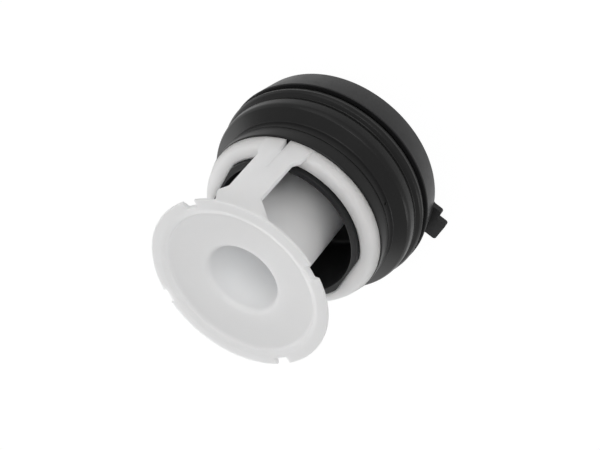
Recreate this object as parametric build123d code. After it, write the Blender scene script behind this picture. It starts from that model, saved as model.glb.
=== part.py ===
"""Lint filter of a drain pump: a turn-in cap, a rubber seal and a snapped-on filter insert.

Millimetres. The part stands on the flat end of its cap, Z runs up its axis to the
filter disc, and X points to the bayonet lug.
"""
import os
from math import cos, hypot, radians, sin, sqrt, tan

from build123d import *

# Edges shared by the moulded pieces
MOULDED_EDGE = 0.3
MOULDED_CORNER = 1.0

# Cap: an end plate with a finger recess, a skirt round it and a cup with a long neck
SKIRT_FOOT_RADIUS = 31.35
SKIRT_FLARE = 1.7
SKIRT_HEIGHT = 9.3
SKIRT_WALL = 1.8
END_PLATE = 2.4
FOOT_ROUNDING = 0.8
RECESS_DEPTH = 8.4
RECESS_DRAFT = 0.5
RECESS_CORNER = 1.5
CUP_FLOOR = 1.8
CUP_CORNER = 1.5
DRUM_RADIUS = 27.6
DRUM_WALL = 2.4
NECK_RADIUS = 22.8
NECK_BORE_RADIUS = 20.95
NECK_LENGTH = 24.1
NECK_LIP_ROUNDING = 0.4

# Grip bar across the finger recess
GRIP_WIDTH = 9.0
GRIP_TAPER = 3.0
GRIP_ROUNDING = 1.2

# Bayonet lug at the foot of the skirt: a long tooth with a shorter step beside it
LUG_REACH = 35.85
LUG_STEP_REACH = 32.6
LUG_START = 1.7
LUG_TOOTH_WIDTH = 7.3
LUG_STEP_WIDTH = 2.8
LUG_THICKNESS = 1.8
LUG_CORNER = 0.9
LUG_ROOT_ROUNDING = 1.0
LUG_ANGLE = 4.0

# Seat of the snap ring on the neck: two flats and a low bead
FLAT_DISTANCE = 21.65
FLAT_ANGLE = 5.0
BEAD_HEIGHT = 0.3
BEAD_WIDTH = 1.4
BEAD_BELOW_LIP = 2.6
SNAP_CLEARANCE = 0.1

# Rubber seal: a sleeve of two bands, a broad rib and a thin lip
SEAL_LENGTH = 18.5
BAND_RADIUS = 27.7
BAND_STEP = 0.1
FRONT_BAND_LENGTH = 4.45
REAR_BAND_LENGTH = 2.75
BAND_GROOVE_WIDTH = 0.5
BAND_GROOVE_DEPTH = 0.5
BAND_ROUNDING = 0.6
RIB_RADIUS = 31.6
RIB_LAND = 2.9
RIB_SLOPE_FALL = 0.6
RIB_FLANK_SLOPE = 1.9
RIB_FRONT_SLOPE = 1.1
RIB_REAR_SLOPE = 1.3
RIB_FRONT_ROUNDING = 2.0
RIB_REAR_ROUNDING = 3.0
LIP_SETBACK = 0.3
LIP_THICKNESS = 2.8
LIP_RISE = 0.5
LIP_CROWN = 0.45
RUBBER_EDGE = 0.4
VENT_RADIUS = 0.4
VENT_DEPTH = 0.5
VENT_ANGLE = 53.0

# Filter insert: a notched funnel disc, an open tube, a strut and a split snap ring
DISC_RADIUS = 27.0
DISC_ABOVE_LIP = 25.7
DISC_WALL = 1.6
RIM_WIDTH = 3.0
RIM_EDGE = 0.8
RIM_ROUNDING = 0.2
BEVEL_WIDTH = 1.4
BEVEL_DEPTH = 0.45
DISH_DEPTH = 1.3
DISH_FALL = 1.05
DISH_LEAN = 0.4
DISH_CORNER = 0.6
THROAT_ROUNDING = 1.8
NOTCH_WIDTH = 4.4
NOTCH_DEPTHS = (2.2, 2.2, 1.2, 2.2)
NOTCH_CORNER = 0.4
NOTCH_ANGLE = 61.0
TUBE_RADIUS = 12.2
TUBE_WALL = 1.85
TUBE_LENGTH = 45.0
TUBE_ROOT_ROUNDING = 1.5
RING_RADIUS = 27.55
RING_BELOW_LIP = 0.9
RING_LAND = 1.0
RING_SLOPE_WIDTH = 2.5
RING_SLOPE_FALL = 1.15
RING_SLOPE_ROUNDING = 2.0
RING_MOUTH_ROUNDING = 0.8

# Strut from the disc's rim to the ring, with a head at the ring and a foot at the disc
STRUT_ANGLE = 121.5
STRUT_WALL = 1.5
STRUT_SETBACK = 0.2
STRUT_WIDTH = 10.0
STRUT_SPREAD = 0.1
STRUT_CORNER = 0.8
HEAD_WIDTH = 12.8
HEAD_SPREAD = 1.0
HEAD_ABOVE_RING = 1.8
HEAD_FLARE = 1.9
FOOT_REACH = 7.2
FOOT_HEIGHT = 4.3
FOOT_FLARE = 2.2
FOOT_RETURN = 2.0
GUSSET_WIDTH = 5.3
GUSSET_HEIGHT = 5.6
SLIT_SIDE = 0.42
SLIT_WIDTH = 1.4
SLIT_TIP_WIDTH = 0.5
GROOVE_WIDTH = 2.0
GROOVE_LENGTH = 8.6
GROOVE_DEPTH = 1.3
GROOVE_TIP_DEPTH = 0.2

# Places that the pieces share, heights from the standing face up
SHOULDER = RECESS_DEPTH + CUP_FLOOR
NECK_LIP = SHOULDER + NECK_LENGTH
SEAL_FRONT = SHOULDER + SEAL_LENGTH
RING_BACK = SEAL_FRONT + SNAP_CLEARANCE
RING_FRONT = NECK_LIP - RING_BELOW_LIP
DISC_FRONT = NECK_LIP + DISC_ABOVE_LIP
STRUT_TOP = DISC_FRONT - RIM_EDGE
STRUT_TOP_RADIUS = DISC_RADIUS - STRUT_SETBACK
SKIRT_MOUTH_RADIUS = SKIRT_FOOT_RADIUS + SKIRT_FLARE
LIP_RADIUS = SKIRT_MOUTH_RADIUS - LIP_SETBACK
BORE_RADIUS = TUBE_RADIUS - TUBE_WALL

# How far a cutting shape runs past the face that it cuts
BEYOND = 5.0


def rounded_outline(corners):
    """Closed line through corners (radius, height, rounding), arcs where rounding is set.

    An arc takes at most half of the shorter leg at its corner.
    """
    legs = []
    for index, (r, z, rounding) in enumerate(corners):
        before = corners[index - 1]
        after = corners[(index + 1) % len(corners)]
        if not rounding:
            legs.append(((r, z), None, (r, z)))
            continue
        back = Vector(before[0] - r, before[1] - z)
        ahead = Vector(after[0] - r, after[1] - z)
        room = min(back.length, ahead.length) / 2
        back, ahead = back.normalized(), ahead.normalized()
        half = radians(back.get_angle(ahead)) / 2
        reach = min(rounding / tan(half), room)
        rounding = reach * tan(half)
        middle = (back + ahead).normalized() * (rounding / sin(half) - rounding)
        legs.append((
            (r + back.X * reach, z + back.Y * reach),
            (r + middle.X, z + middle.Y),
            (r + ahead.X * reach, z + ahead.Y * reach),
        ))
    with BuildLine() as outline:
        for index, (start, middle, end) in enumerate(legs):
            last_end = legs[index - 1][2]
            if hypot(start[0] - last_end[0], start[1] - last_end[1]) > 1e-6:
                Line(last_end, start)
            if middle is not None:
                ThreePointArc(start, middle, end)
    return outline.line


def turned(corners):
    """Solid of revolution about Z from corners (radius, height, rounding)."""
    face = make_face(rounded_outline(corners).edges())
    return revolve(Plane.XZ * face, Axis.Z)


def plate(corners, thickness):
    """Flat plate in XY, rising from Z zero, from corners (x, y, rounding)."""
    return extrude(make_face(rounded_outline(corners).edges()), thickness)


def swept_outward(corners, angle, near, far):
    """Outline (along, height, rounding) in the plane facing angle, swept from near to far."""
    outward = Vector(cos(radians(angle)), sin(radians(angle)), 0)
    across = Vector(-sin(radians(angle)), cos(radians(angle)), 0)
    facing = Plane(origin=outward * near, x_dir=across, z_dir=outward)
    face = make_face(rounded_outline(corners).edges())
    return extrude(facing * face, far - near)


def ring_seat(clearance):
    """The neck's outer form where the snap ring sits: a bead between two flats."""
    radius = NECK_RADIUS + clearance
    crest = NECK_LIP - BEAD_BELOW_LIP
    low = SEAL_FRONT - clearance
    high = NECK_LIP + clearance
    core = turned([
        (0, low, 0),
        (radius, low, 0),
        (radius, crest - BEAD_WIDTH / 2, 0),
        (radius + BEAD_HEIGHT, crest, 0),
        (radius, crest + BEAD_WIDTH / 2, 0),
        (radius, high, 0),
        (0, high, 0),
    ])
    between_flats = Rot(0, 0, FLAT_ANGLE) * Box(
        2 * (FLAT_DISTANCE + clearance), 2 * (radius + BEYOND), high - low
    )
    return core & (Pos(0, 0, (low + high) / 2) * between_flats)


def make_cap():
    drum_inside = DRUM_RADIUS - DRUM_WALL
    lean = (SKIRT_MOUTH_RADIUS - SKIRT_FOOT_RADIUS) / SKIRT_HEIGHT
    channel_outside = SKIRT_FOOT_RADIUS + lean * END_PLATE - SKIRT_WALL
    shell = turned([
        (drum_inside + RECESS_DRAFT, 0, FOOT_ROUNDING),
        (SKIRT_FOOT_RADIUS, 0, FOOT_ROUNDING),
        (SKIRT_MOUTH_RADIUS, SKIRT_HEIGHT, MOULDED_EDGE),
        (SKIRT_MOUTH_RADIUS - SKIRT_WALL, SKIRT_HEIGHT, MOULDED_EDGE),
        (channel_outside, END_PLATE, MOULDED_CORNER),
        (DRUM_RADIUS, END_PLATE, MOULDED_CORNER),
        (DRUM_RADIUS, SHOULDER, 0),
        (NECK_RADIUS, SHOULDER, 0),
        (NECK_RADIUS, SEAL_FRONT, 0),
        (0, SEAL_FRONT, 0),
        (0, RECESS_DEPTH, 0),
        (drum_inside, RECESS_DEPTH, RECESS_CORNER),
    ])
    past_lip = NECK_LIP + BEYOND
    cup = turned([
        (0, SHOULDER, 0),
        (NECK_BORE_RADIUS, SHOULDER, CUP_CORNER),
        (NECK_BORE_RADIUS, NECK_LIP - NECK_LIP_ROUNDING, 0),
        (NECK_BORE_RADIUS + NECK_LIP_ROUNDING + BEYOND, past_lip, 0),
        (0, past_lip, 0),
    ])
    return shell + ring_seat(0) - cup + make_grip_bar() + make_lug()


def make_grip_bar():
    """Bar flush with the standing face, tapered and rounded, between the recess walls."""
    half_foot = GRIP_WIDTH / 2
    half_root = half_foot + GRIP_TAPER / 2
    root = SHOULDER - CUP_FLOOR / 2
    bar = swept_outward([
        (-half_foot, 0, GRIP_ROUNDING),
        (half_foot, 0, GRIP_ROUNDING),
        (half_root, root, 0),
        (-half_root, root, 0),
    ], 0, -DRUM_RADIUS, DRUM_RADIUS)
    within = Pos(0, 0, SHOULDER / 2) * Cylinder(DRUM_RADIUS - DRUM_WALL / 2, SHOULDER)
    return bar & within


def make_lug():
    middle = LUG_START + LUG_TOOTH_WIDTH
    end = middle + LUG_STEP_WIDTH
    past_root = end + LUG_ROOT_ROUNDING
    root_x = sqrt(SKIRT_FOOT_RADIUS ** 2 - end ** 2)
    past_root_x = sqrt(SKIRT_FOOT_RADIUS ** 2 - past_root ** 2) - MOULDED_EDGE
    inside = SKIRT_FOOT_RADIUS - DRUM_WALL
    lug = plate([
        (inside, LUG_START, 0),
        (LUG_REACH, LUG_START, LUG_CORNER),
        (LUG_REACH, middle, LUG_CORNER),
        (LUG_STEP_REACH, middle, MOULDED_EDGE),
        (LUG_STEP_REACH, end, LUG_CORNER),
        (root_x, end, LUG_ROOT_ROUNDING),
        (past_root_x, past_root, 0),
        (inside - DRUM_WALL, past_root, 0),
    ], LUG_THICKNESS)
    return Rot(0, 0, LUG_ANGLE) * lug


def make_seal():
    rear_band = BAND_RADIUS - BAND_STEP
    groove_top = SEAL_FRONT - FRONT_BAND_LENGTH
    groove_low = groove_top - BAND_GROOVE_WIDTH
    flank = groove_low - REAR_BAND_LENGTH
    rib_front = flank - RIB_FLANK_SLOPE
    land_top = rib_front - RIB_FRONT_SLOPE
    land_low = land_top - RIB_LAND
    valley = land_low - RIB_REAR_SLOPE
    slope_radius = RIB_RADIUS - RIB_SLOPE_FALL
    lip_front = valley - LIP_RISE
    lip_back = lip_front - LIP_THICKNESS
    seal = turned([
        (NECK_RADIUS, SHOULDER, 0),
        (DRUM_RADIUS, SHOULDER, 0),
        (DRUM_RADIUS, lip_back, 0),
        (LIP_RADIUS - LIP_CROWN, lip_back, RUBBER_EDGE),
        (LIP_RADIUS, lip_front - LIP_THICKNESS / 3, RUBBER_EDGE),
        (LIP_RADIUS - LIP_CROWN, lip_front, RUBBER_EDGE),
        (slope_radius, valley, RUBBER_EDGE),
        (RIB_RADIUS, land_low, RIB_REAR_ROUNDING),
        (RIB_RADIUS, land_top, RIB_FRONT_ROUNDING),
        (slope_radius, rib_front, RUBBER_EDGE),
        (rear_band, flank, RUBBER_EDGE),
        (rear_band, groove_low, 0),
        (rear_band - BAND_GROOVE_DEPTH, (groove_low + groove_top) / 2, 0),
        (BAND_RADIUS, groove_top, 0),
        (BAND_RADIUS, SEAL_FRONT, BAND_ROUNDING),
        (NECK_RADIUS, SEAL_FRONT, 0),
    ])
    vent = Pos(rear_band, 0, (flank + groove_low) / 2) * Rot(0, 90, 0) * Cylinder(
        VENT_RADIUS, 2 * VENT_DEPTH
    )
    return seal - Rot(0, 0, VENT_ANGLE) * vent


def make_disc_and_tube():
    rim_inside = DISC_RADIUS - RIM_WIDTH
    bevel_inside = rim_inside - BEVEL_WIDTH
    dish_radius = bevel_inside - DISH_LEAN
    dish_top = DISC_FRONT - DISH_DEPTH
    throat = dish_top - DISH_FALL
    tube_end = DISC_FRONT - TUBE_LENGTH
    disc = turned([
        (DISC_RADIUS, DISC_FRONT, RIM_ROUNDING),
        (rim_inside, DISC_FRONT, 0),
        (bevel_inside, DISC_FRONT - BEVEL_DEPTH, MOULDED_EDGE),
        (dish_radius, dish_top, DISH_CORNER),
        (BORE_RADIUS, throat, THROAT_ROUNDING),
        (BORE_RADIUS, tube_end, MOULDED_EDGE),
        (TUBE_RADIUS, tube_end, MOULDED_EDGE),
        (TUBE_RADIUS, throat - DISC_WALL, TUBE_ROOT_ROUNDING),
        (dish_radius, dish_top - DISC_WALL, MOULDED_CORNER),
        (rim_inside + BEVEL_WIDTH, DISC_FRONT - DISC_WALL, MOULDED_CORNER),
        (DISC_RADIUS, DISC_FRONT - RIM_EDGE, 0),
    ])
    mouth = DISC_RADIUS + BEYOND
    for index, depth in enumerate(NOTCH_DEPTHS):
        floor = DISC_RADIUS - depth
        notch = plate([
            (floor, -NOTCH_WIDTH / 2, NOTCH_CORNER),
            (mouth, -NOTCH_WIDTH / 2, 0),
            (mouth, NOTCH_WIDTH / 2, 0),
            (floor, NOTCH_WIDTH / 2, NOTCH_CORNER),
        ], 2 * BEYOND)
        angle = NOTCH_ANGLE + 360 / len(NOTCH_DEPTHS) * index
        disc -= Pos(0, 0, DISC_FRONT - BEYOND) * Rot(0, 0, angle) * notch
    return disc


def make_snap_ring():
    inside = FLAT_DISTANCE - SNAP_CLEARANCE
    slope_start = NECK_RADIUS + SNAP_CLEARANCE + RING_LAND
    blank = turned([
        (inside, RING_BACK, 0),
        (RING_RADIUS, RING_BACK, MOULDED_EDGE),
        (slope_start + RING_SLOPE_WIDTH, RING_FRONT - RING_SLOPE_FALL, RING_SLOPE_ROUNDING),
        (slope_start, RING_FRONT, 0),
        (inside, RING_FRONT, 0),
    ])
    ring = blank - ring_seat(SNAP_CLEARANCE)
    front_edges = ring.edges().group_by(Axis.Z)[-1]
    mouth = front_edges.sort_by(SortBy.LENGTH)[:-1]
    return fillet(mouth, RING_MOUTH_ROUNDING)


def make_strut():
    strip = turned([
        (STRUT_TOP_RADIUS - STRUT_WALL, STRUT_TOP, 0),
        (RING_RADIUS - STRUT_WALL, RING_FRONT, 0),
        (RING_RADIUS - STRUT_WALL, RING_BACK, 0),
        (RING_RADIUS, RING_BACK, 0),
        (STRUT_TOP_RADIUS, STRUT_TOP, 0),
    ])
    half = STRUT_WIDTH / 2
    low_half = half + STRUT_SPREAD
    head = HEAD_WIDTH / 2
    low_head = head + HEAD_SPREAD
    head_top = RING_FRONT + HEAD_ABOVE_RING
    foot_low = STRUT_TOP - FOOT_HEIGHT
    outline = swept_outward([
        (-low_head, RING_BACK, 0),
        (-head, head_top, STRUT_CORNER),
        (-low_half, head_top + HEAD_FLARE, STRUT_CORNER),
        (-half, STRUT_TOP - GUSSET_HEIGHT, STRUT_CORNER),
        (-half - GUSSET_WIDTH, STRUT_TOP, 0),
        (FOOT_REACH - FOOT_RETURN, STRUT_TOP, 0),
        (FOOT_REACH, foot_low, STRUT_CORNER),
        (half, foot_low - FOOT_FLARE, STRUT_CORNER),
        (low_half, head_top + HEAD_FLARE, STRUT_CORNER),
        (head, head_top, STRUT_CORNER),
        (low_head, RING_BACK, 0),
    ], STRUT_ANGLE, NECK_BORE_RADIUS, RING_RADIUS + BEYOND)
    return strip & outline


def make_slit():
    """Gap that splits the snap ring at the strut and narrows towards the ring's front."""
    return swept_outward([
        (-SLIT_SIDE, RING_BACK - BEYOND, 0),
        (SLIT_WIDTH - SLIT_SIDE, RING_BACK - BEYOND, 0),
        (SLIT_WIDTH - SLIT_SIDE, RING_BACK, 0),
        (SLIT_TIP_WIDTH - SLIT_SIDE, RING_FRONT, 0),
        (-SLIT_SIDE, RING_FRONT, 0),
    ], STRUT_ANGLE, FLAT_DISTANCE - BEYOND, RING_RADIUS + BEYOND)


def make_groove():
    """Groove over the slit and along the strut, with one upright wall and one sloping wall."""
    lean = (RING_RADIUS - STRUT_TOP_RADIUS) / (STRUT_TOP - RING_BACK)

    def section(height, depth):
        face = RING_RADIUS - lean * (height - RING_BACK)
        points = [
            (face + BEYOND, -SLIT_SIDE),
            (face + BEYOND, GROOVE_WIDTH - SLIT_SIDE),
            (face, GROOVE_WIDTH - SLIT_SIDE),
            (face - depth, -SLIT_SIDE),
        ]
        return Pos(0, 0, height) * make_face(Polyline(*points, close=True))

    groove = loft([
        section(RING_BACK - BEYOND, GROOVE_DEPTH),
        section(RING_FRONT + GROOVE_LENGTH, GROOVE_TIP_DEPTH),
    ])
    return Rot(0, 0, STRUT_ANGLE) * groove


def make_insert():
    body = make_disc_and_tube() + make_strut() + make_snap_ring()
    return body - make_slit() - make_groove()


NODES = {
    "cap": make_cap,
    "seal": make_seal,
    "filter_insert": make_insert,
}

os.makedirs("parts", exist_ok=True)
for name, make in NODES.items():
    export_step(make(), f"parts/{name}.step")
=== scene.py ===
"""Looks of a drain pump lint filter: black cap, rubber seal, white insert, light and camera.

Sizes are millimetres until a shape is made, and the shapes are in metres.
"""
from math import ceil, cos, pi, radians, sin, sqrt, tan

import bmesh
import bpy
from mathutils import Matrix, Vector


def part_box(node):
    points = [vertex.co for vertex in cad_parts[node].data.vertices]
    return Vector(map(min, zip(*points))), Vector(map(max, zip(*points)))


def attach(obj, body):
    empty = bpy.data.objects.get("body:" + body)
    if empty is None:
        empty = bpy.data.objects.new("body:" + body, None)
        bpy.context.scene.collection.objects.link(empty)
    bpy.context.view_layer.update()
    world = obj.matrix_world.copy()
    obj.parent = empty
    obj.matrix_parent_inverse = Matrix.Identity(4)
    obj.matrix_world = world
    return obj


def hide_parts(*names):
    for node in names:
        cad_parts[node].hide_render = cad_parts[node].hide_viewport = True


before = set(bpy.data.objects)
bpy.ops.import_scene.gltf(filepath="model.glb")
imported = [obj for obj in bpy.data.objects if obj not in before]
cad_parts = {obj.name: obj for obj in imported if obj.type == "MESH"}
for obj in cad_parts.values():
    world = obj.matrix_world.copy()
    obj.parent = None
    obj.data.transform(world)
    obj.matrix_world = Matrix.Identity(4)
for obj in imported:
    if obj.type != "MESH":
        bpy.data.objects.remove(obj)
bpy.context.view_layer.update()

MM = 0.001
BODY = "root"

# Heights of the three pieces, read from the frame
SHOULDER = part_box("seal")[0].z / MM
SEAL_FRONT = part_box("seal")[1].z / MM
NECK_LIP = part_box("cap")[1].z / MM
TUBE_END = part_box("filter_insert")[0].z / MM
DISC_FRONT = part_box("filter_insert")[1].z / MM

# How finely round forms are made
TURN_STEPS = 288
ARC_STEP = radians(12)
SHARP_ANGLE = radians(32)

# How far a cutting shape runs past a face, how far two faces keep off each other,
# and how near to each other two points count as one
BEYOND = 5.0
SLIVER = 0.02
TOUCH = 0.003

# Edges shared by the moulded pieces
MOULDED_EDGE = 0.3
MOULDED_CORNER = 1.0

# Cap
SKIRT_FOOT_RADIUS = 31.35
SKIRT_MOUTH_RADIUS = 33.05
SKIRT_HEIGHT = 9.3
SKIRT_WALL = 1.8
END_PLATE = 2.4
FOOT_ROUNDING = 0.8
RECESS_DEPTH = 8.4
RECESS_DRAFT = 0.5
CORNER_ROUNDING = 1.5
DRUM_RADIUS = 27.6
DRUM_WALL = 2.4
NECK_RADIUS = 22.8
NECK_BORE_RADIUS = 20.95
NECK_LIP_ROUNDING = 0.4
NECK_EDGE_ROUNDING = 0.25
GRIP_WIDTH = 9.0
GRIP_TAPER = 3.0
GRIP_ROUNDING = 1.2
LUG_REACH = 35.85
LUG_STEP_REACH = 32.6
LUG_START = 1.7
LUG_TOOTH_WIDTH = 7.3
LUG_STEP_WIDTH = 2.8
LUG_THICKNESS = 1.8
LUG_ANGLE = radians(4)
LUG_CORNER = 0.9
LUG_ROOT_ROUNDING = 1.0

# Seat of the snap ring on the neck
FLAT_DISTANCE = 21.65
FLAT_ANGLE = radians(5)
BEAD_HEIGHT = 0.3
BEAD_WIDTH = 1.4
BEAD_BELOW_LIP = 2.6
SNAP_CLEARANCE = 0.1

# Seal
BAND_RADIUS = 27.7
BAND_STEP = 0.1
FRONT_BAND_LENGTH = 4.45
REAR_BAND_LENGTH = 2.75
BAND_GROOVE_WIDTH = 0.5
BAND_GROOVE_DEPTH = 0.5
BAND_ROUNDING = 0.6
RIB_RADIUS = 31.6
RIB_LAND = 2.9
RIB_SLOPE_FALL = 0.6
RIB_FLANK_SLOPE = 1.9
RIB_FRONT_SLOPE = 1.1
RIB_REAR_SLOPE = 1.3
RIB_FRONT_ROUNDING = 2.0
RIB_REAR_ROUNDING = 3.0
LIP_RADIUS = 32.75
LIP_THICKNESS = 2.8
LIP_RISE = 0.5
LIP_CROWN = 0.45
RUBBER_EDGE = 0.4
VENT_RADIUS = 0.4
VENT_DEPTH = 0.5
VENT_STEPS = 24
VENT_ANGLE = radians(53)

# Filter insert
DISC_RADIUS = 27.0
DISC_WALL = 1.6
RIM_WIDTH = 3.0
RIM_EDGE = 0.8
RIM_ROUNDING = 0.2
BEVEL_WIDTH = 1.4
BEVEL_DEPTH = 0.45
DISH_DEPTH = 1.3
DISH_FALL = 1.05
DISH_LEAN = 0.4
DISH_CORNER = 0.6
THROAT_ROUNDING = 1.8
NOTCH_WIDTH = 4.4
NOTCH_DEPTHS = (2.2, 2.2, 1.2, 2.2)
NOTCH_CORNER = 0.4
NOTCH_ANGLE = radians(61)
TUBE_RADIUS = 12.2
BORE_RADIUS = 10.35
TUBE_ROOT_ROUNDING = 1.5
RING_RADIUS = 27.55
RING_BELOW_LIP = 0.9
RING_LAND = 1.0
RING_SLOPE_WIDTH = 2.5
RING_SLOPE_FALL = 1.15
RING_SLOPE_ROUNDING = 2.0
RING_MOUTH_ROUNDING = 0.8
STRUT_ANGLE = radians(121.5)
STRUT_WALL = 1.5
STRUT_SETBACK = 0.2
STRUT_SUNK = 0.03
STRUT_WIDTH = 10.0
STRUT_SPREAD = 0.1
STRUT_CORNER = 0.8
HEAD_WIDTH = 12.8
HEAD_SPREAD = 1.0
HEAD_ABOVE_RING = 1.8
HEAD_FLARE = 1.9
FOOT_REACH = 7.2
FOOT_HEIGHT = 4.3
FOOT_FLARE = 2.2
FOOT_RETURN = 2.0
GUSSET_WIDTH = 5.3
GUSSET_HEIGHT = 5.6
SLIT_WIDTH = 1.4
SLIT_SIDE = 0.42
SLIT_TIP_WIDTH = 0.5
GROOVE_WIDTH = 2.0
GROOVE_LENGTH = 8.6
GROOVE_DEPTH = 1.3
GROOVE_TIP_DEPTH = 0.2

# Places on the insert that follow from the frame and the sizes above
RING_BACK = SEAL_FRONT + SNAP_CLEARANCE
RING_FRONT = NECK_LIP - RING_BELOW_LIP
STRUT_TOP = DISC_FRONT - RIM_EDGE
STRUT_TOP_RADIUS = DISC_RADIUS - STRUT_SETBACK

# Camera, from circles of the object fitted to the photograph
CAMERA_AIM = Vector((0.002525, 0, 0.028497))
CAMERA_DISTANCE = 0.355354
CAMERA_AZIMUTH = radians(90)
CAMERA_ELEVATION = radians(43.093)
CAMERA_ROLL = radians(-139.89)
CAMERA_LENS = 75.307

# Finishes
SMEAR_SCALE = 350.0
CLOUD_DETAIL = 3.0
GRAIN_DETAIL = 1.0
EDGE_SAMPLES = 6

# Studio; the floor lies a little under the cap, so that no two faces share a place
FLOOR_SIZE = 6.0
FLOOR_DROP = 0.05
FLOOR_COLOR = (0.8, 0.8, 0.8, 1)
FLOOR_WHITENING = 0.92
FLOOR_WHITE = 1.05
BACKGROUND_WHITE = 1.0
WORLD_LIGHT = 0.36
LAMP_DISTANCE = 0.7

# Each lamp: azimuth and elevation in degrees, width in metres, power in watts
LAMPS = {
    "key": (102, 34, 0.45, 1.6),
    "upper_left": (135, 8, 0.45, 0.6),
    "right": (12, 4, 0.25, 0.8),
    "left": (225, 12, 0.45, 1.0),
    "front": (220, 65, 0.45, 0.3),
    "back": (270, 10, 0.45, 1.3),
    "back_right": (315, 12, 0.45, 0.6),
}


def on_axis(vert):
    """Whether a point lies on Z."""
    return vert.co.to_2d().length < TOUCH * MM


def rounded_wire(bm, corners, place):
    """Closed wire through corners (a, b, rounding), each set in space by place(a, b).

    Nothing is drawn between two corners on the axis, where a turned solid needs no face.
    """
    verts = [bm.verts.new(place(a * MM, b * MM)) for a, b, _ in corners]
    for start, end in zip(verts, verts[1:] + verts[:1]):
        if not (on_axis(start) and on_axis(end)):
            bm.edges.new((start, end))
    for index, (a, b, rounding) in enumerate(corners):
        if not rounding:
            continue
        back = Vector(corners[index - 1][:2]) - Vector((a, b))
        ahead = Vector(corners[(index + 1) % len(corners)][:2]) - Vector((a, b))
        opening = back.angle(ahead)
        bmesh.ops.bevel(
            bm,
            geom=[verts[index]],
            offset=rounding / tan(opening / 2) * MM,
            offset_type="OFFSET",
            segments=max(3, ceil((pi - opening) / ARC_STEP)),
            profile=0.5,
            affect="VERTICES",
            material=-1,
        )


def merge_points(bm):
    """Join points that touch, and take out what that leaves flat."""
    bmesh.ops.remove_doubles(bm, verts=bm.verts, dist=TOUCH * MM)
    bmesh.ops.dissolve_degenerate(bm, dist=TOUCH * MM, edges=bm.edges)


def object_from(bm, name):
    """New object of a mesh whose doubles are merged and whose faces point outwards."""
    merge_points(bm)
    bmesh.ops.recalc_face_normals(bm, faces=bm.faces)
    mesh = bpy.data.meshes.new(name)
    bm.to_mesh(mesh)
    bm.free()
    piece = bpy.data.objects.new(name, mesh)
    bpy.context.scene.collection.objects.link(piece)
    return piece


def turned(name, corners):
    """Solid turned about Z from corners (radius, height, rounding)."""
    bm = bmesh.new()
    rounded_wire(bm, corners, lambda radius, height: (radius, 0, height))
    bmesh.ops.spin(
        bm,
        geom=bm.verts[:] + bm.edges[:],
        axis=(0, 0, 1),
        cent=(0, 0, 0),
        angle=2 * pi,
        steps=TURN_STEPS,
        use_merge=True,
    )
    return object_from(bm, name)


def turn_about_z(bm, angle):
    turn = Matrix.Rotation(angle, 3, "Z")
    bmesh.ops.rotate(bm, verts=bm.verts, cent=(0, 0, 0), matrix=turn)


def pushed(name, corners, place, along, angle=0.0):
    """Outline (a, b, rounding) set by place, pushed along a vector, then turned about Z."""
    bm = bmesh.new()
    rounded_wire(bm, corners, place)
    bmesh.ops.contextual_create(bm, geom=bm.edges[:])
    made = bmesh.ops.extrude_face_region(bm, geom=bm.faces[:])
    moved = [part for part in made["geom"] if isinstance(part, bmesh.types.BMVert)]
    bmesh.ops.translate(bm, verts=moved, vec=Vector(along) * MM)
    bmesh.ops.holes_fill(bm, edges=bm.edges)
    turn_about_z(bm, angle)
    return object_from(bm, name)


def pushed_outward(name, corners, angle, near, far):
    """Outline (along, height, rounding) that faces angle, pushed from near to far."""
    return pushed(
        name,
        corners,
        lambda along, height: (near * MM, along, height),
        (far - near, 0, 0),
        angle,
    )


def plate(name, corners, low, high, angle=0.0):
    """Outline (x, y, rounding) pushed from the height low to the height high."""
    return pushed(name, corners, lambda x, y: (x, y, low * MM), (0, 0, high - low), angle)


def combine(piece, tool, operation):
    """Boolean of piece and tool, after which the tool is gone."""
    change = piece.modifiers.new(operation, "BOOLEAN")
    change.operation = operation
    change.solver = "EXACT"
    change.object = tool
    evaluated = piece.evaluated_get(bpy.context.evaluated_depsgraph_get())
    mesh = bpy.data.meshes.new_from_object(evaluated)
    bm = bmesh.new()
    bm.from_mesh(mesh)
    merge_points(bm)
    bm.to_mesh(mesh)
    bm.free()
    piece.modifiers.clear()
    piece.data = mesh
    bpy.data.objects.remove(tool)
    return piece


def cut(piece, tool):
    return combine(piece, tool, "DIFFERENCE")


def add(piece, other):
    return combine(piece, other, "UNION")


def keep_within(piece, tool):
    return combine(piece, tool, "INTERSECT")


def flat_sided(name, near, low, high):
    """Two blocks that cut the flats at distance near from the axis, as one tool."""
    side = NECK_RADIUS + BEYOND
    outline = [(near, -side, 0), (side, -side, 0), (side, side, 0), (near, side, 0)]
    block, opposite = (plate(name, outline, low, high, FLAT_ANGLE + turn) for turn in (0, pi))
    return add(block, opposite)


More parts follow.
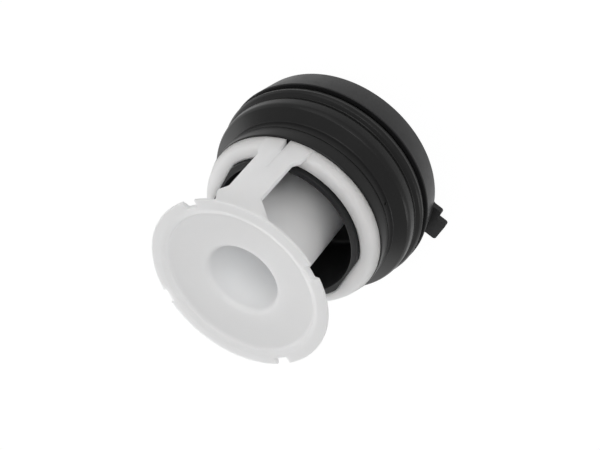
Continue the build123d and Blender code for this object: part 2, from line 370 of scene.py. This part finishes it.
def make_cap():
    """Recessed end plate, skirt, drum and a cup with a long neck, with grip bar and lug."""
    drum_inside = DRUM_RADIUS - DRUM_WALL
    lean = (SKIRT_MOUTH_RADIUS - SKIRT_FOOT_RADIUS) / SKIRT_HEIGHT
    channel_outside = SKIRT_FOOT_RADIUS + lean * END_PLATE - SKIRT_WALL
    crest = NECK_LIP - BEAD_BELOW_LIP
    cap = turned("cap_moulding", [
        (0, RECESS_DEPTH, 0),
        (drum_inside, RECESS_DEPTH, CORNER_ROUNDING),
        (drum_inside + RECESS_DRAFT, 0, FOOT_ROUNDING),
        (SKIRT_FOOT_RADIUS, 0, FOOT_ROUNDING),
        (SKIRT_MOUTH_RADIUS, SKIRT_HEIGHT, MOULDED_EDGE),
        (SKIRT_MOUTH_RADIUS - SKIRT_WALL, SKIRT_HEIGHT, MOULDED_EDGE),
        (channel_outside, END_PLATE, MOULDED_CORNER),
        (DRUM_RADIUS, END_PLATE, MOULDED_CORNER),
        (DRUM_RADIUS, SHOULDER, 0),
        (NECK_RADIUS, SHOULDER, 0),
        (NECK_RADIUS, crest - BEAD_WIDTH / 2, 0),
        (NECK_RADIUS + BEAD_HEIGHT, crest, 0),
        (NECK_RADIUS, crest + BEAD_WIDTH / 2, 0),
        (NECK_RADIUS, NECK_LIP, NECK_EDGE_ROUNDING),
        (NECK_BORE_RADIUS, NECK_LIP, NECK_LIP_ROUNDING),
        (NECK_BORE_RADIUS, SHOULDER, CORNER_ROUNDING),
        (0, SHOULDER, 0),
    ])
    cut(cap, flat_sided("flats", FLAT_DISTANCE, SEAL_FRONT, NECK_LIP + BEYOND))
    add(cap, make_grip_bar())
    return add(cap, make_lug())


def make_grip_bar():
    """Bar across the finger recess, sunk into the recess's wall and floor."""
    half_foot = GRIP_WIDTH / 2
    half_root = half_foot + GRIP_TAPER / 2
    reach = DRUM_RADIUS - DRUM_WALL / 2
    root = (RECESS_DEPTH + SHOULDER) / 2
    bar = pushed_outward("grip_bar", [
        (-half_foot, 0, GRIP_ROUNDING),
        (half_foot, 0, GRIP_ROUNDING),
        (half_root, root, 0),
        (-half_root, root, 0),
    ], 0, -DRUM_RADIUS, DRUM_RADIUS)
    room = turned("recess", [(0, 0, 0), (reach, 0, 0), (reach, root, 0), (0, root, 0)])
    return keep_within(bar, room)


def make_lug():
    """Bayonet tooth with a shorter step beside it, rooted in the skirt."""
    middle = LUG_START + LUG_TOOTH_WIDTH
    end = middle + LUG_STEP_WIDTH
    past_root = end + LUG_ROOT_ROUNDING
    root_x = sqrt(SKIRT_FOOT_RADIUS ** 2 - end ** 2)
    past_root_x = sqrt(SKIRT_FOOT_RADIUS ** 2 - past_root ** 2) - MOULDED_EDGE
    inside = SKIRT_FOOT_RADIUS - DRUM_WALL
    return plate("lug", [
        (inside, LUG_START, 0),
        (LUG_REACH, LUG_START, LUG_CORNER),
        (LUG_REACH, middle, LUG_CORNER),
        (LUG_STEP_REACH, middle, MOULDED_EDGE),
        (LUG_STEP_REACH, end, LUG_CORNER),
        (root_x, end, LUG_ROOT_ROUNDING),
        (past_root_x, past_root, 0),
        (inside - DRUM_WALL, past_root, 0),
    ], 0, LUG_THICKNESS, LUG_ANGLE)


def make_seal():
    """Sleeve on the neck: two bands with a groove between, a broad rib and a thin lip."""
    rear_band = BAND_RADIUS - BAND_STEP
    groove_top = SEAL_FRONT - FRONT_BAND_LENGTH
    groove_low = groove_top - BAND_GROOVE_WIDTH
    flank = groove_low - REAR_BAND_LENGTH
    rib_front = flank - RIB_FLANK_SLOPE
    land_top = rib_front - RIB_FRONT_SLOPE
    land_low = land_top - RIB_LAND
    valley = land_low - RIB_REAR_SLOPE
    slope_radius = RIB_RADIUS - RIB_SLOPE_FALL
    lip_front = valley - LIP_RISE
    lip_back = lip_front - LIP_THICKNESS
    seal = turned("seal_moulding", [
        (NECK_RADIUS, SHOULDER, 0),
        (DRUM_RADIUS, SHOULDER, 0),
        (DRUM_RADIUS, lip_back, 0),
        (LIP_RADIUS - LIP_CROWN, lip_back, RUBBER_EDGE),
        (LIP_RADIUS, lip_front - LIP_THICKNESS / 3, RUBBER_EDGE),
        (LIP_RADIUS - LIP_CROWN, lip_front, RUBBER_EDGE),
        (slope_radius, valley, RUBBER_EDGE),
        (RIB_RADIUS, land_low, RIB_REAR_ROUNDING),
        (RIB_RADIUS, land_top, RIB_FRONT_ROUNDING),
        (slope_radius, rib_front, RUBBER_EDGE),
        (rear_band, flank, RUBBER_EDGE),
        (rear_band, groove_low, RUBBER_EDGE / 2),
        (rear_band - BAND_GROOVE_DEPTH, (groove_low + groove_top) / 2, 0),
        (BAND_RADIUS, groove_top, RUBBER_EDGE / 2),
        (BAND_RADIUS, SEAL_FRONT, BAND_ROUNDING),
        (NECK_RADIUS, SEAL_FRONT, 0),
    ])
    bm = bmesh.new()
    bmesh.ops.create_cone(
        bm,
        cap_ends=True,
        segments=VENT_STEPS,
        radius1=VENT_RADIUS * MM,
        radius2=VENT_RADIUS * MM,
        depth=2 * VENT_DEPTH * MM,
        matrix=Matrix.Rotation(VENT_ANGLE, 4, "Z")
        @ Matrix.Translation((rear_band * MM, 0, (flank + groove_low) / 2 * MM))
        @ Matrix.Rotation(pi / 2, 4, "Y"),
    )
    return cut(seal, object_from(bm, "vent"))


def make_disc_and_tube():
    """Funnel disc that runs into the tube, with notches in its rim."""
    rim_inside = DISC_RADIUS - RIM_WIDTH
    bevel_inside = rim_inside - BEVEL_WIDTH
    dish_radius = bevel_inside - DISH_LEAN
    dish_top = DISC_FRONT - DISH_DEPTH
    throat = dish_top - DISH_FALL
    disc = turned("insert_moulding", [
        (DISC_RADIUS, DISC_FRONT, RIM_ROUNDING),
        (rim_inside, DISC_FRONT, MOULDED_EDGE),
        (bevel_inside, DISC_FRONT - BEVEL_DEPTH, MOULDED_EDGE),
        (dish_radius, dish_top, DISH_CORNER),
        (BORE_RADIUS, throat, THROAT_ROUNDING),
        (BORE_RADIUS, TUBE_END, MOULDED_EDGE),
        (TUBE_RADIUS, TUBE_END, MOULDED_EDGE),
        (TUBE_RADIUS, throat - DISC_WALL, TUBE_ROOT_ROUNDING),
        (dish_radius, dish_top - DISC_WALL, MOULDED_CORNER),
        (rim_inside + BEVEL_WIDTH, DISC_FRONT - DISC_WALL, MOULDED_CORNER),
        (DISC_RADIUS, DISC_FRONT - RIM_EDGE, RIM_ROUNDING),
    ])
    mouth = DISC_RADIUS + BEYOND
    for index, depth in enumerate(NOTCH_DEPTHS):
        floor = DISC_RADIUS - depth
        angle = NOTCH_ANGLE + 2 * pi / len(NOTCH_DEPTHS) * index
        cut(disc, plate("notch", [
            (floor, -NOTCH_WIDTH / 2, NOTCH_CORNER),
            (mouth, -NOTCH_WIDTH / 2, 0),
            (mouth, NOTCH_WIDTH / 2, 0),
            (floor, NOTCH_WIDTH / 2, NOTCH_CORNER),
        ], DISC_FRONT - BEYOND, DISC_FRONT + BEYOND, angle))
    return disc


def make_snap_ring():
    """Ring with a sloping face and a seat for the neck, its bead and its flats."""
    bore = NECK_RADIUS + SNAP_CLEARANCE
    flat = FLAT_DISTANCE + SNAP_CLEARANCE
    crest = NECK_LIP - BEAD_BELOW_LIP
    inside = FLAT_DISTANCE - BEYOND
    slope_start = bore + RING_LAND
    ring = turned("snap_ring", [
        (inside, RING_BACK, 0),
        (RING_RADIUS, RING_BACK, MOULDED_EDGE),
        (slope_start + RING_SLOPE_WIDTH, RING_FRONT - RING_SLOPE_FALL, RING_SLOPE_ROUNDING),
        (slope_start, RING_FRONT, 0),
        (inside, RING_FRONT, 0),
    ])
    seat = turned("ring_seat", [
        (0, RING_BACK - BEYOND, 0),
        (bore, RING_BACK - BEYOND, 0),
        (bore, crest - BEAD_WIDTH / 2, 0),
        (bore + BEAD_HEIGHT, crest, 0),
        (bore, crest + BEAD_WIDTH / 2, 0),
        (bore, RING_FRONT - RING_MOUTH_ROUNDING, RING_MOUTH_ROUNDING),
        (bore + RING_MOUTH_ROUNDING, RING_FRONT, 0),
        (bore + RING_MOUTH_ROUNDING, RING_FRONT + BEYOND, 0),
        (0, RING_FRONT + BEYOND, 0),
    ])
    cut(seat, flat_sided("flats", flat, RING_BACK - 2 * BEYOND, RING_FRONT + 2 * BEYOND))
    return cut(ring, seat)


def make_strut():
    """Straight strip from the disc's rim to the ring, cut to shape between head and foot.

    Its face lies a little under the ring's, so that the two don't share a place.
    """
    strip = turned("strut", [
        (STRUT_TOP_RADIUS - STRUT_WALL, STRUT_TOP + MOULDED_EDGE, 0),
        (RING_RADIUS - STRUT_WALL, RING_FRONT, 0),
        (RING_RADIUS - STRUT_WALL, RING_BACK + MOULDED_EDGE, 0),
        (RING_RADIUS - STRUT_SUNK, RING_BACK + MOULDED_EDGE, 0),
        (STRUT_TOP_RADIUS, STRUT_TOP, 0),
        (STRUT_TOP_RADIUS, STRUT_TOP + MOULDED_EDGE, 0),
    ])
    half = STRUT_WIDTH / 2
    low_half = half + STRUT_SPREAD
    head = HEAD_WIDTH / 2
    low_head = head + HEAD_SPREAD
    head_top = RING_FRONT + HEAD_ABOVE_RING
    foot_low = STRUT_TOP - FOOT_HEIGHT
    top = STRUT_TOP + BEYOND
    outline = pushed_outward("strut_outline", [
        (-low_head, RING_BACK, 0),
        (-head, head_top, STRUT_CORNER),
        (-low_half, head_top + HEAD_FLARE, STRUT_CORNER),
        (-half, STRUT_TOP - GUSSET_HEIGHT, STRUT_CORNER),
        (-half - GUSSET_WIDTH, STRUT_TOP, 0),
        (-half - GUSSET_WIDTH, top, 0),
        (FOOT_REACH - FOOT_RETURN, top, 0),
        (FOOT_REACH - FOOT_RETURN, STRUT_TOP, 0),
        (FOOT_REACH, foot_low, STRUT_CORNER),
        (half, foot_low - FOOT_FLARE, STRUT_CORNER),
        (low_half, head_top + HEAD_FLARE, STRUT_CORNER),
        (head, head_top, STRUT_CORNER),
        (low_head, RING_BACK, 0),
    ], STRUT_ANGLE, NECK_BORE_RADIUS, RING_RADIUS + BEYOND)
    return keep_within(strip, outline)


def make_slit():
    """Tapering cut through the ring under the strut."""
    return pushed_outward("slit", [
        (-SLIT_SIDE, RING_BACK - BEYOND, 0),
        (SLIT_WIDTH - SLIT_SIDE, RING_BACK - BEYOND, 0),
        (SLIT_WIDTH - SLIT_SIDE, RING_BACK, 0),
        (SLIT_TIP_WIDTH - SLIT_SIDE, RING_FRONT + SLIVER, 0),
        (-SLIT_SIDE, RING_FRONT + SLIVER, 0),
    ], STRUT_ANGLE, FLAT_DISTANCE - BEYOND, RING_RADIUS + BEYOND)


def make_groove():
    """Tapering groove over the slit and along the strut: one upright and one sloping wall."""
    lean = (RING_RADIUS - STRUT_TOP_RADIUS) / (STRUT_TOP - RING_BACK)
    low = -SLIT_SIDE
    high = GROOVE_WIDTH - SLIT_SIDE
    bm = bmesh.new()
    loops = []
    for height, depth in (
        (RING_BACK - BEYOND, GROOVE_DEPTH),
        (RING_FRONT + GROOVE_LENGTH, GROOVE_TIP_DEPTH),
    ):
        face = RING_RADIUS - lean * (height - RING_BACK)
        out = face + BEYOND
        corners = [(out, low), (out, high), (face, high), (face - depth, low)]
        verts = [bm.verts.new((x * MM, y * MM, height * MM)) for x, y in corners]
        loops += [bm.edges.new(ends) for ends in zip(verts, verts[1:] + verts[:1])]
    bmesh.ops.bridge_loops(bm, edges=loops)
    bmesh.ops.holes_fill(bm, edges=bm.edges)
    turn_about_z(bm, STRUT_ANGLE)
    return object_from(bm, "groove")


def make_insert():
    """Disc, tube, strut and ring in one moulding, with the ring split under the strut."""
    insert = make_disc_and_tube()
    add(insert, make_strut())
    add(insert, make_snap_ring())
    cut(insert, make_slit())
    return cut(insert, make_groove())


def node_group(name, inputs, outputs):
    """Empty shader group with named sockets; returns its tree and its two end nodes."""
    group = bpy.data.node_groups.new(name, "ShaderNodeTree")
    for socket, kind, value in inputs:
        made = group.interface.new_socket(socket, in_out="INPUT", socket_type=kind)
        if value is not None:
            made.default_value = value
    for socket, kind in outputs:
        group.interface.new_socket(socket, in_out="OUTPUT", socket_type=kind)
    return group, group.nodes.new("NodeGroupInput"), group.nodes.new("NodeGroupOutput")


def feed(links, socket, value):
    """Give a socket another socket to follow, or a plain value."""
    if isinstance(value, bpy.types.NodeSocket):
        links.new(value, socket)
    else:
        socket.default_value = value


def noise(nodes, links, vector, scale, detail):
    """Noise texture over a vector socket; returns its factor."""
    texture = nodes.new("ShaderNodeTexNoise")
    for name, value in (("Vector", vector), ("Scale", scale), ("Detail", detail)):
        feed(links, texture.inputs[name], value)
    return texture.outputs["Fac"]


def remap(nodes, links, value, low, high):
    """Value from 0 to 1 moved to the range from low to high."""
    spread = nodes.new("ShaderNodeMapRange")
    for name, given in (("Value", value), ("To Min", low), ("To Max", high)):
        feed(links, spread.inputs[name], given)
    return spread.outputs["Result"]


def blend(nodes, links, share, dark, light):
    """Colour between two colours by a share from 0 to 1."""
    mixed = nodes.new("ShaderNodeMix")
    mixed.data_type = "RGBA"
    ends = [socket for socket in mixed.inputs if socket.type == "RGBA"]
    feed(links, mixed.inputs["Factor"], share)
    for socket, color in zip(ends, (dark, light)):
        feed(links, socket, color)
    return next(socket for socket in mixed.outputs if socket.type == "RGBA")


def moulded_surface():
    """Group for a moulded surface: clouded colour, uneven shine and a fine grain."""
    group, start, end = node_group(
        "Moulded surface",
        [
            ("Vector", "NodeSocketVector", None),
            ("Dark", "NodeSocketColor", (0.01, 0.01, 0.01, 1)),
            ("Light", "NodeSocketColor", (0.02, 0.02, 0.02, 1)),
            ("Least roughness", "NodeSocketFloat", 0.3),
            ("Most roughness", "NodeSocketFloat", 0.5),
            ("Cloud scale", "NodeSocketFloat", 60.0),
            ("Grain scale", "NodeSocketFloat", 2500.0),
        ],
        [
            ("Color", "NodeSocketColor"),
            ("Roughness", "NodeSocketFloat"),
            ("Height", "NodeSocketFloat"),
        ],
    )
    nodes, links = group.nodes, group.links
    given = start.outputs

    clouds = noise(nodes, links, given["Vector"], given["Cloud scale"], CLOUD_DETAIL)
    links.new(blend(nodes, links, clouds, given["Dark"], given["Light"]), end.inputs["Color"])

    smears = noise(nodes, links, given["Vector"], SMEAR_SCALE, CLOUD_DETAIL)
    shine = remap(nodes, links, smears, given["Least roughness"], given["Most roughness"])
    links.new(shine, end.inputs["Roughness"])

    grain = noise(nodes, links, given["Vector"], given["Grain scale"], GRAIN_DETAIL)
    links.new(grain, end.inputs["Height"])
    return group


def moulded_material(name, group, values, grain_depth, edge_radius, sockets):
    """Material of a moulded piece: the group's colour, shine and grain, with soft edges."""
    material = bpy.data.materials.new(name)
    material.use_nodes = True
    nodes, links = material.node_tree.nodes, material.node_tree.links
    shader = nodes["Principled BSDF"]
    for socket, value in sockets.items():
        shader.inputs[socket].default_value = value
    place = nodes.new("ShaderNodeTexCoord")
    surface = nodes.new("ShaderNodeGroup")
    surface.node_tree = group
    for socket, value in values.items():
        surface.inputs[socket].default_value = value
    links.new(place.outputs["Object"], surface.inputs["Vector"])
    links.new(surface.outputs["Color"], shader.inputs["Base Color"])
    links.new(surface.outputs["Roughness"], shader.inputs["Roughness"])
    edges = nodes.new("ShaderNodeBevel")
    edges.samples = EDGE_SAMPLES
    edges.inputs["Radius"].default_value = edge_radius * MM
    bump = nodes.new("ShaderNodeBump")
    bump.inputs["Strength"].default_value = 1.0
    bump.inputs["Distance"].default_value = grain_depth * MM
    links.new(surface.outputs["Height"], bump.inputs["Height"])
    links.new(edges.outputs["Normal"], bump.inputs["Normal"])
    links.new(bump.outputs["Normal"], shader.inputs["Normal"])
    return material


def dress(piece, node, material):
    """Smooth shading, the finish, and the piece's place in the frame."""
    piece.data.shade_smooth()
    piece.data.set_sharp_from_angle(angle=SHARP_ANGLE)
    piece.data.materials.clear()
    piece.data.materials.append(material)
    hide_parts(node)
    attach(piece, BODY)


def whitened(nodes, links):
    """Share that camera, glossy and transmitted rays see as plain white."""
    path = nodes.new("ShaderNodeLightPath")
    total = path.outputs["Is Camera Ray"]
    for ray in ("Is Glossy Ray", "Is Transmission Ray"):
        both = nodes.new("ShaderNodeMath")
        both.operation = "MAXIMUM"
        links.new(total, both.inputs[0])
        links.new(path.outputs[ray], both.inputs[1])
        total = both.outputs[0]
    return total


def make_floor():
    """Matte floor that the camera sees as white, apart from a hint of the shadow."""
    bm = bmesh.new()
    below = Matrix.Translation((0, 0, -FLOOR_DROP * MM))
    bmesh.ops.create_grid(bm, x_segments=1, y_segments=1, size=FLOOR_SIZE / 2, matrix=below)
    floor = object_from(bm, "floor")
    material = bpy.data.materials.new("Pale floor")
    material.use_nodes = True
    nodes, links = material.node_tree.nodes, material.node_tree.links
    nodes.remove(nodes["Principled BSDF"])
    matte = nodes.new("ShaderNodeBsdfDiffuse")
    matte.inputs["Color"].default_value = FLOOR_COLOR
    white = nodes.new("ShaderNodeEmission")
    white.inputs["Strength"].default_value = FLOOR_WHITE
    share = nodes.new("ShaderNodeMath")
    share.operation = "MULTIPLY"
    share.inputs[1].default_value = FLOOR_WHITENING
    links.new(whitened(nodes, links), share.inputs[0])
    mixed = nodes.new("ShaderNodeMixShader")
    links.new(share.outputs[0], mixed.inputs[0])
    links.new(matte.outputs[0], mixed.inputs[1])
    links.new(white.outputs[0], mixed.inputs[2])
    links.new(mixed.outputs[0], nodes["Material Output"].inputs["Surface"])
    floor.data.materials.append(material)


def make_world():
    """Soft light from all sides, which the camera sees as white."""
    world = bpy.data.worlds.new("Studio")
    bpy.context.scene.world = world
    world.use_nodes = True
    nodes, links = world.node_tree.nodes, world.node_tree.links
    background = nodes["Background"]
    background.inputs["Color"].default_value = (1, 1, 1, 1)
    strength = remap(nodes, links, whitened(nodes, links), WORLD_LIGHT, BACKGROUND_WHITE)
    links.new(strength, background.inputs["Strength"])


def direction(azimuth, elevation):
    """Unit vector from the object towards an azimuth and an elevation."""
    return Vector((
        cos(azimuth) * cos(elevation), sin(azimuth) * cos(elevation), sin(elevation)
    ))


def make_lamp(name, azimuth, elevation, width, power):
    """Round softbox that faces the object."""
    data = bpy.data.lights.new(name, "AREA")
    data.shape = "DISK"
    data.size = width
    data.energy = power
    lamp = bpy.data.objects.new(name, data)
    towards = direction(radians(azimuth), radians(elevation))
    lamp.location = CAMERA_AIM + towards * LAMP_DISTANCE
    lamp.rotation_euler = towards.to_track_quat("Z", "Y").to_euler()
    bpy.context.scene.collection.objects.link(lamp)


def make_camera():
    """Camera at the photograph's angle."""
    camera = bpy.data.objects.new("camera", bpy.data.cameras.new("camera"))
    camera.data.lens = CAMERA_LENS
    camera.data.clip_start = MM
    backwards = direction(CAMERA_AZIMUTH, CAMERA_ELEVATION)
    level = backwards.to_track_quat("Z", "Y").to_matrix()
    turn = (level @ Matrix.Rotation(CAMERA_ROLL, 3, "Z")).to_4x4()
    camera.matrix_world = Matrix.Translation(CAMERA_AIM + backwards * CAMERA_DISTANCE) @ turn
    bpy.context.scene.collection.objects.link(camera)
    bpy.context.scene.camera = camera


surface = moulded_surface()
white_plastic = moulded_material(
    "White polypropylene",
    surface,
    {
        "Dark": (0.85, 0.853, 0.86, 1),
        "Light": (0.89, 0.893, 0.9, 1),
        "Least roughness": 0.4,
        "Most roughness": 0.55,
        "Cloud scale": 90.0,
        "Grain scale": 2500.0,
    },
    grain_depth=0.004,
    edge_radius=0.55,
    sockets={
        "IOR": 1.49,
        "Subsurface Weight": 1.0,
        "Subsurface Radius": (0.94, 0.97, 1.0),
        "Subsurface Scale": 0.009,
    },
)
black_plastic = moulded_material(
    "Black polypropylene",
    surface,
    {
        "Dark": (0.01, 0.01, 0.0105, 1),
        "Light": (0.016, 0.016, 0.0165, 1),
        "Least roughness": 0.36,
        "Most roughness": 0.5,
        "Cloud scale": 120.0,
        "Grain scale": 2200.0,
    },
    grain_depth=0.006,
    edge_radius=0.2,
    sockets={"IOR": 1.49, "Specular IOR Level": 0.22},
)
black_rubber = moulded_material(
    "Black rubber",
    surface,
    {
        "Dark": (0.007, 0.007, 0.007, 1),
        "Light": (0.011, 0.011, 0.011, 1),
        "Least roughness": 0.26,
        "Most roughness": 0.34,
        "Cloud scale": 200.0,
        "Grain scale": 1800.0,
    },
    grain_depth=0.008,
    edge_radius=0.2,
    sockets={"IOR": 1.45, "Specular IOR Level": 0.2},
)

dress(make_cap(), "cap", black_plastic)
dress(make_seal(), "seal", black_rubber)
dress(make_insert(), "filter_insert", white_plastic)

make_floor()
make_world()
for lamp_name, values in LAMPS.items():
    make_lamp(lamp_name, *values)
make_camera()
bpy.context.scene.view_settings.view_transform = "Standard"
